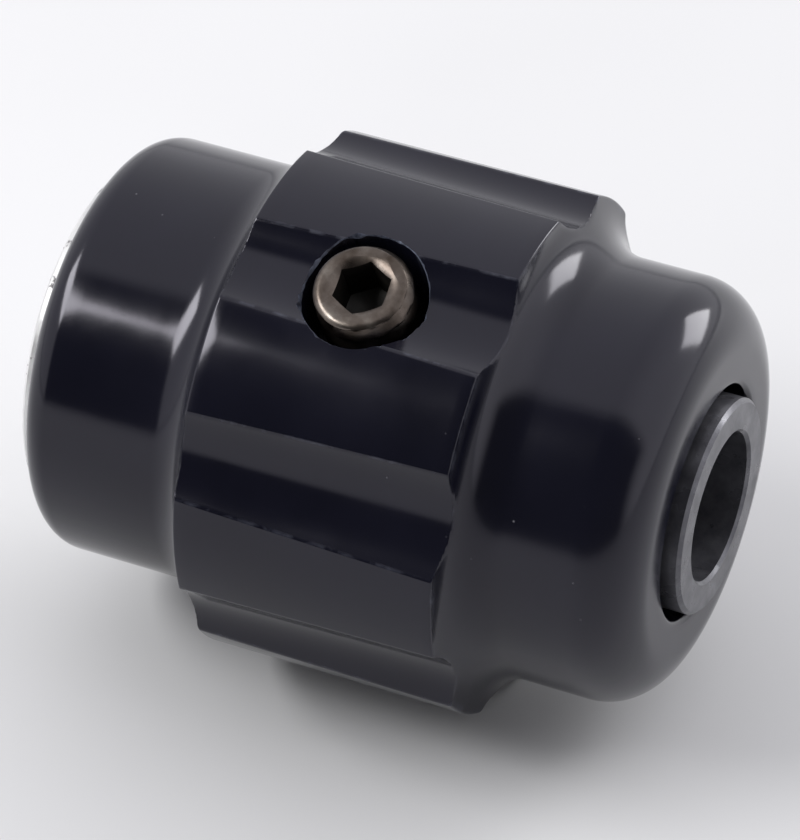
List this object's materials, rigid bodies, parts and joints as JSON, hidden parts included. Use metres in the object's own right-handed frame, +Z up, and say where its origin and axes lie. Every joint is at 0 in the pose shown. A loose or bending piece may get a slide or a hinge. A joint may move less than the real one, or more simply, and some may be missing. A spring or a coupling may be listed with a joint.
{
  "type": "oldham coupling",
  "caption": "Enclosed Oldham shaft coupling with a fluted hand grip, a floating slotted disc, a slip-on keyed hub and a socket clamp screw.",
  "frame": {"origin": "on the shaft axis, where the clamp screw's axis meets it", "axes": "+X along the shaft axis towards the drive end, +Z up with the coupling lying on one land of its fluted band"},
  "size_m": [0.043, 0.0334, 0.0334],
  "materials": {
    "shell_moulding": "glossy moulded phenolic, very dark navy",
    "hub_steel": "dark oiled sintered steel",
    "screw_steel": "browned alloy steel",
    "pin_steel": "ground steel",
    "spring_steel": "blued spring steel",
    "disc_acetal": "natural acetal",
    "washer_acetal": "natural acetal",
    "seal_rubber": "nitrile rubber",
    "cover_zinc": "pale satin metal with a dark mottled edge"
  },
  "bodies": {
    "housing": {"shell": "shell_moulding", "drive_hub": "hub_steel", "drive_pins": "pin_steel", "disc_spring": "spring_steel", "end_cover": "cover_zinc"},
    "screw": {"clamp_screw": "screw_steel"},
    "disc": {"centre_disc": "disc_acetal"},
    "driven_side": {"driven_hub": "hub_steel", "thrust_washer": "washer_acetal", "dust_seal": "seal_rubber"}
  },
  "joints": [
    {"name": "screw_travel", "type": "slide", "parent": "housing", "child": "screw", "axis": [0, -0.3827, 0.9239], "range_m": [-0.0009, 0.0025]},
    {"name": "disc_slide", "type": "slide", "parent": "housing", "child": "disc", "axis": [0, 1, 0], "range_m": [-0.0008, 0.0008]},
    {"name": "driven_slide", "type": "slide", "parent": "disc", "child": "driven_side", "axis": [0, 0, 1], "range_m": [-0.0008, 0.0008]}
  ]
}
